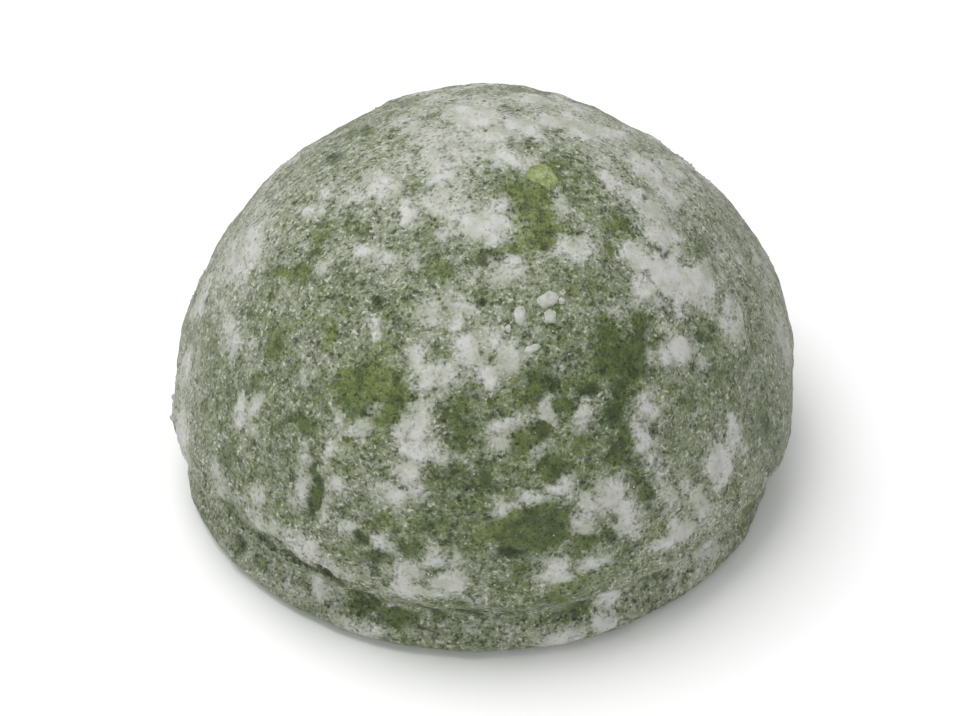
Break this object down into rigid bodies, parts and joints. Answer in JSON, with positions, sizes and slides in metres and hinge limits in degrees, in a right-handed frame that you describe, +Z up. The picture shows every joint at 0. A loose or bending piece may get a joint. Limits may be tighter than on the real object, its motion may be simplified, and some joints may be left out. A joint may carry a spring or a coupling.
{
  "type": "mochi rice cake",
  "caption": "Round green rice-dough cake with a domed top, a soft crease above a low foot and a flat base, dusted with white starch; a sweet eaten by hand.",
  "frame": {"origin": "middle of the cake's outline seen from above, on the surface it rests on", "axes": "+Z up through the crown; the front, where the crease above the foot is deepest, faces -Y; +X to the right of the front"},
  "size_m": [0.056, 0.0554, 0.0351],
  "materials": {
    "herb_dough": "soft, slightly moist green rice dough under a mottled film of white starch",
    "rice_starch": "dry, matte white starch powder, caked in drifts and loose in grains"
  },
  "bodies": {
    "root": {"rice_cake": "herb_dough"}
  },
  "joints": []
}
